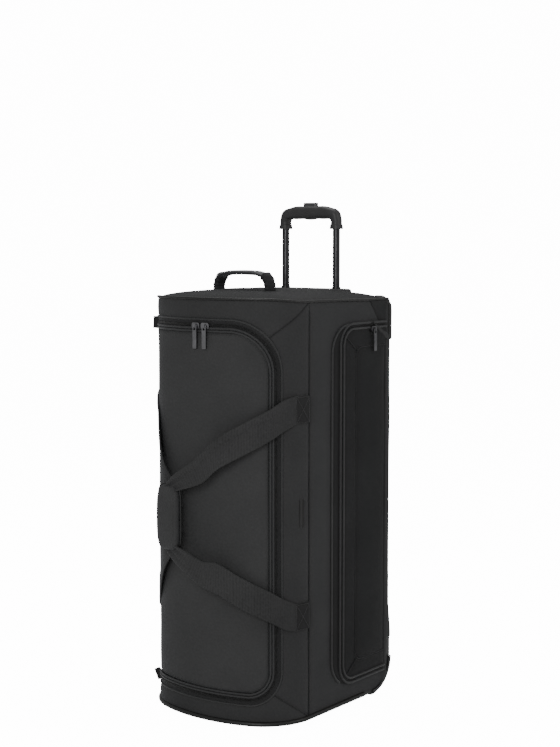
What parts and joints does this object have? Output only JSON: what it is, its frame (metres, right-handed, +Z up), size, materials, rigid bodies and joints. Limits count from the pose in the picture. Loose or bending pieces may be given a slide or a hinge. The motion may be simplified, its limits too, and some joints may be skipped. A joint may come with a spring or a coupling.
{
  "type": "rolling duffel bag",
  "caption": "Upright soft-sided wheeled duffel with a domed zip-round front lid, side pocket, carry straps joined by a padded wrap, and a telescopic trolley grip.",
  "frame": {"origin": "on the floor, below the middle of the whole object's box", "axes": "+Z up along the bag as it stands on its wheels; +X towards the side with the pocket; -Y towards the domed lid; +Y towards the trolley side"},
  "size_m": [0.3475, 0.43, 0.965],
  "materials": {
    "bag_fabric": "charcoal woven polyester",
    "patch_fabric": "dark woven polyester",
    "webbing": "ribbed nylon webbing",
    "zip_tape": "woven zip tape with a plastic coil",
    "piping": "black piping cord cover",
    "lining": "plain lining",
    "moulded_plastic": "fine grain",
    "button_plastic": "smooth",
    "tyre_rubber": "moulded",
    "tube_aluminium": "dark anodised",
    "steel": "turned",
    "zip_metal": "dark plated"
  },
  "bodies": {
    "bag": {"top_end_panel": "bag_fabric", "base_board": "moulded_plastic", "back_panel": "bag_fabric", "side_panel_left": "bag_fabric", "side_panel_right": "bag_fabric", "front_strip_top": "bag_fabric", "front_strip_bottom": "bag_fabric", "front_strip_left": "bag_fabric", "front_strip_right": "bag_fabric", "frame_zip_tape": "zip_tape", "zip_end_tabs": "patch_fabric", "top_piping": "piping", "base_piping": "piping", "seam_piping": "piping", "anchor_patches": "patch_fabric", "badge_plate": "moulded_plastic", "pocket_border": "bag_fabric", "corner_patches": "patch_fabric", "corner_guard_left": "moulded_plastic", "corner_guard_right": "moulded_plastic", "axles": "steel", "wheel_housing_left": "moulded_plastic", "wheel_housing_right": "moulded_plastic", "base_feet": "moulded_plastic", "trolley_bezel": "moulded_plastic", "trolley_tube_outer_left": "tube_aluminium", "trolley_tube_outer_right": "tube_aluminium", "trolley_foot": "moulded_plastic", "top_handle_sleeve": "patch_fabric", "top_handle_webbing": "webbing", "inner_divider": "lining", "packing_strap": "webbing", "packing_buckle": "moulded_plastic"},
    "lid": {"front_lid": "bag_fabric", "lid_zip_tape": "zip_tape"},
    "carry_loop_right": {"carry_strap_right": "webbing", "handle_wrap": "patch_fabric"},
    "carry_loop_left": {"carry_strap_left": "webbing"},
    "trolley_middle_stage": {"trolley_tube_middle_left": "tube_aluminium", "trolley_tube_middle_right": "tube_aluminium"},
    "trolley_grip_stage": {"trolley_tube_inner_left": "tube_aluminium", "trolley_tube_inner_right": "tube_aluminium", "trolley_grip": "moulded_plastic"},
    "button": {"release_button": "button_plastic", "button_link": "moulded_plastic", "push_rods": "steel"},
    "wheel_left": {"wheel_tyre_left": "tyre_rubber", "wheel_core_left": "moulded_plastic"},
    "wheel_right": {"wheel_tyre_right": "tyre_rubber", "wheel_core_right": "moulded_plastic"},
    "slider_left": {"zip_slider_left": "zip_metal"},
    "puller_left": {"zip_puller_left": "zip_metal"},
    "slider_right": {"zip_slider_right": "zip_metal"},
    "puller_right": {"zip_puller_right": "zip_metal"},
    "pocket_lid": {"pocket_flap": "bag_fabric"},
    "pocket_slider_body": {"pocket_slider": "zip_metal"},
    "pocket_puller_body": {"pocket_puller": "zip_metal"}
  },
  "joints": [
    {"name": "lid_hinge", "type": "hinge", "parent": "bag", "child": "lid", "pos_m": [-0.137, -0.1261, 0.4], "axis": [0, 0, -1], "range_deg": [0, 80]},
    {"name": "right_carry_swing", "type": "hinge", "parent": "bag", "child": "carry_loop_right", "pos_m": [0.16715, -0.056, 0.4], "axis": [0, 0, 1], "range_deg": [0, 160]},
    {"name": "left_carry_swing", "type": "hinge", "parent": "bag", "child": "carry_loop_left", "pos_m": [-0.16715, -0.056, 0.4], "axis": [0, 0, -1], "range_deg": [0, 80]},
    {"name": "trolley_middle_slide", "type": "slide", "parent": "bag", "child": "trolley_middle_stage", "axis": [0, 0, 1], "range_m": [0, 0.12]},
    {"name": "trolley_inner_slide", "type": "slide", "parent": "trolley_middle_stage", "child": "trolley_grip_stage", "axis": [0, 0, 1], "range_m": [-0.112, 0.06]},
    {"name": "button_press", "type": "slide", "parent": "trolley_grip_stage", "child": "button", "axis": [0, 0, -1], "range_m": [0, 0.004], "stiffness_N_per_m": 500, "springref_m": -0.006},
    {"name": "left_wheel_spin", "type": "hinge", "parent": "bag", "child": "wheel_left", "pos_m": [-0.141, 0.176, 0.036], "axis": [1, 0, 0], "continuous": true},
    {"name": "right_wheel_spin", "type": "hinge", "parent": "bag", "child": "wheel_right", "pos_m": [0.141, 0.176, 0.036], "axis": [1, 0, 0], "continuous": true},
    {"name": "left_slider_run", "type": "hinge", "parent": "lid", "child": "slider_left", "pos_m": [0, 0.11601, 0.739], "axis": [0, 0, -1], "range_deg": [0, 11]},
    {"name": "left_puller_swing", "type": "hinge", "parent": "slider_left", "child": "puller_left", "pos_m": [-0.0051, -0.17616, 0.739], "axis": [-0.9998, 0.0175, 0], "range_deg": [0, 150]},
    {"name": "right_slider_run", "type": "hinge", "parent": "lid", "child": "slider_right", "pos_m": [0, 0.11601, 0.739], "axis": [0, 0, 1], "range_deg": [0, 9]},
    {"name": "right_puller_swing", "type": "hinge", "parent": "slider_right", "child": "puller_right", "pos_m": [0.01631, -0.17574, 0.739], "axis": [-0.9984, -0.0558, 0], "range_deg": [0, 150]},
    {"name": "pocket_flap_hinge", "type": "hinge", "parent": "bag", "child": "pocket_lid", "pos_m": [0.1715, 0.1905, 0.394], "axis": [0, 0, 1], "range_deg": [0, 75]},
    {"name": "pocket_slider_run", "type": "slide", "parent": "pocket_lid", "child": "pocket_slider_body", "axis": [0, -1, 0], "range_m": [0, 0.05]},
    {"name": "pocket_puller_swing", "type": "hinge", "parent": "pocket_slider_body", "child": "pocket_puller_body", "pos_m": [0.1773, 0.138, 0.724], "axis": [0, -1, 0], "range_deg": [0, 150]}
  ],
  "couplings": [
    {"joint": "right_carry_swing", "follows": "lid_hinge", "ratio": 2},
    {"joint": "left_carry_swing", "follows": "lid_hinge", "ratio": 1}
  ]
}
